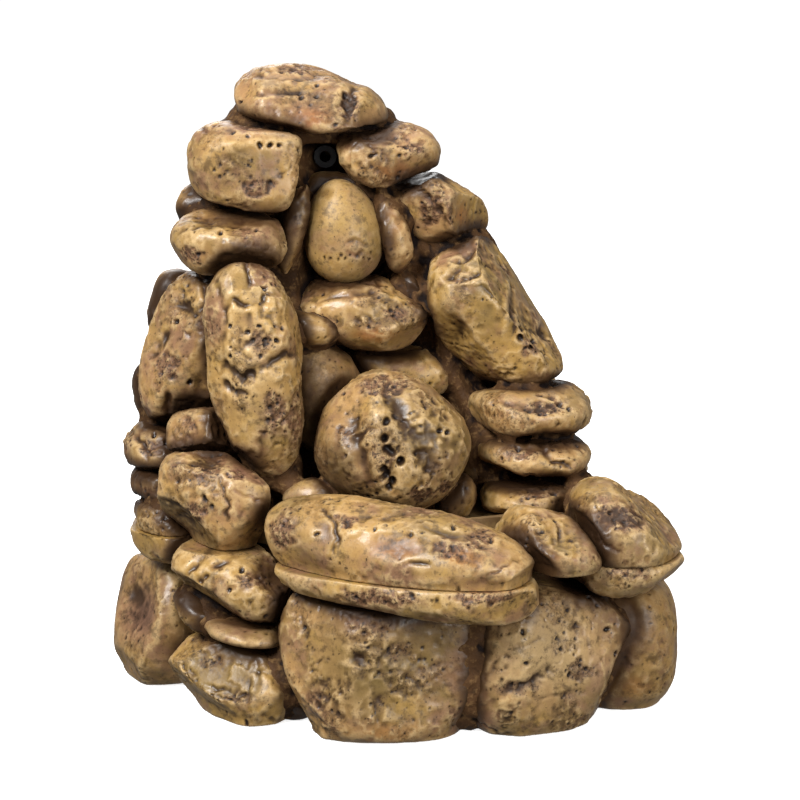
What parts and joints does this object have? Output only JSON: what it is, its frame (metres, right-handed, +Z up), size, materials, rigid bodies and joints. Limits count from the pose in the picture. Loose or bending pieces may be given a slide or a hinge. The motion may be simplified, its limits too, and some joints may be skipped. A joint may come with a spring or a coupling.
{
  "type": "tabletop water fountain",
  "caption": "Indoor recirculating fountain like stacked river stones: a tower with a niche and a stepped cascade lifts off a bowl that holds a small pump.",
  "frame": {"origin": "on the surface that the fountain stands on, midway across the bowl and 12 mm in front of the centre of its underside", "axes": "+Z up, -Y to the front where the niche and the pool are, +X to the right"},
  "size_m": [0.2614, 0.2328, 0.2774],
  "materials": {
    "stone_paint": "cast stone resin, satin, painted ochre with umber washed into the pits",
    "casting": "cast stone resin, matt umber, rough",
    "pump_plastic": "moulded black ABS, fine texture",
    "grille_plastic": "moulded blue ABS, satin",
    "magnet": "ferrite magnet with moulded blades, satin",
    "ceramic_shaft": "ground ceramic, semi-gloss",
    "hose_vinyl": "translucent vinyl, gloss",
    "rubber": "moulded rubber, matt"
  },
  "bodies": {
    "basin": {"basin_shell": "casting", "pump_housing": "pump_plastic", "volute_cover": "pump_plastic", "impeller_shaft": "ceramic_shaft", "cord_gland": "rubber", "suction_cup_1": "rubber", "suction_cup_2": "rubber", "base_front_right_stone": "stone_paint", "base_front_stone": "stone_paint", "base_left_front_stone": "stone_paint", "base_left_stone": "stone_paint", "base_rear_left_stone": "stone_paint", "base_rear_middle_stone": "stone_paint", "base_rear_right_stone": "stone_paint", "base_rear_stone": "stone_paint", "base_right_stone": "stone_paint", "basin_disc_stone": "stone_paint", "basin_left_slab_stone": "stone_paint", "lip_long_underside": "stone_paint", "lip_right_underside": "stone_paint"},
    "tower": {"ball_stone": "stone_paint", "cap_stone": "stone_paint", "egg_stone": "stone_paint", "ledge_stone": "stone_paint", "left_chock_stone": "stone_paint", "left_flat_stone": "stone_paint", "left_pillar_stone": "stone_paint", "left_rear_pillar_stone": "stone_paint", "left_shoulder_stone": "stone_paint", "left_slab_stone": "stone_paint", "left_stack_stone_lower": "stone_paint", "left_stack_stone_upper": "stone_paint", "left_wedge_stone": "stone_paint", "lip_long_stone": "stone_paint", "lip_middle_stone": "stone_paint", "lip_right_stone": "stone_paint", "niche_back_stone": "stone_paint", "niche_left_stone": "stone_paint", "outlet_hose": "hose_vinyl", "rear_high_left_stone": "stone_paint", "rear_high_right_stone": "stone_paint", "rear_low_left_stone": "stone_paint", "rear_low_middle_stone": "stone_paint", "rear_low_right_stone": "stone_paint", "rear_middle_left_stone": "stone_paint", "rear_middle_right_stone": "stone_paint", "rear_middle_stone": "stone_paint", "right_faceted_stone": "stone_paint", "right_pillar_stone": "stone_paint", "right_stack_stone_lower": "stone_paint", "right_stack_stone_middle": "stone_paint", "right_stack_stone_upper": "stone_paint", "splash_tray": "casting", "spout_elbow": "pump_plastic", "tower_shell": "casting", "upper_right_stone": "stone_paint"},
    "impeller": {"impeller": "magnet"},
    "grille": {"intake_grille": "grille_plastic"},
    "slider": {"flow_slider": "pump_plastic"}
  },
  "joints": [
    {"name": "tower_lift", "type": "slide", "parent": "basin", "child": "tower", "axis": [0, 0, 1], "range_m": [0, 0.1]},
    {"name": "impeller_spin", "type": "hinge", "parent": "basin", "child": "impeller", "pos_m": [-0.017, 0.042, 0.0276], "axis": [1, 0, 0], "continuous": true},
    {"name": "grille_pull", "type": "slide", "parent": "basin", "child": "grille", "axis": [-1, 0, 0], "range_m": [0, 0.014]},
    {"name": "flow_slide", "type": "slide", "parent": "grille", "child": "slider", "axis": [0, 1, 0], "range_m": [0, 0.008]}
  ]
}
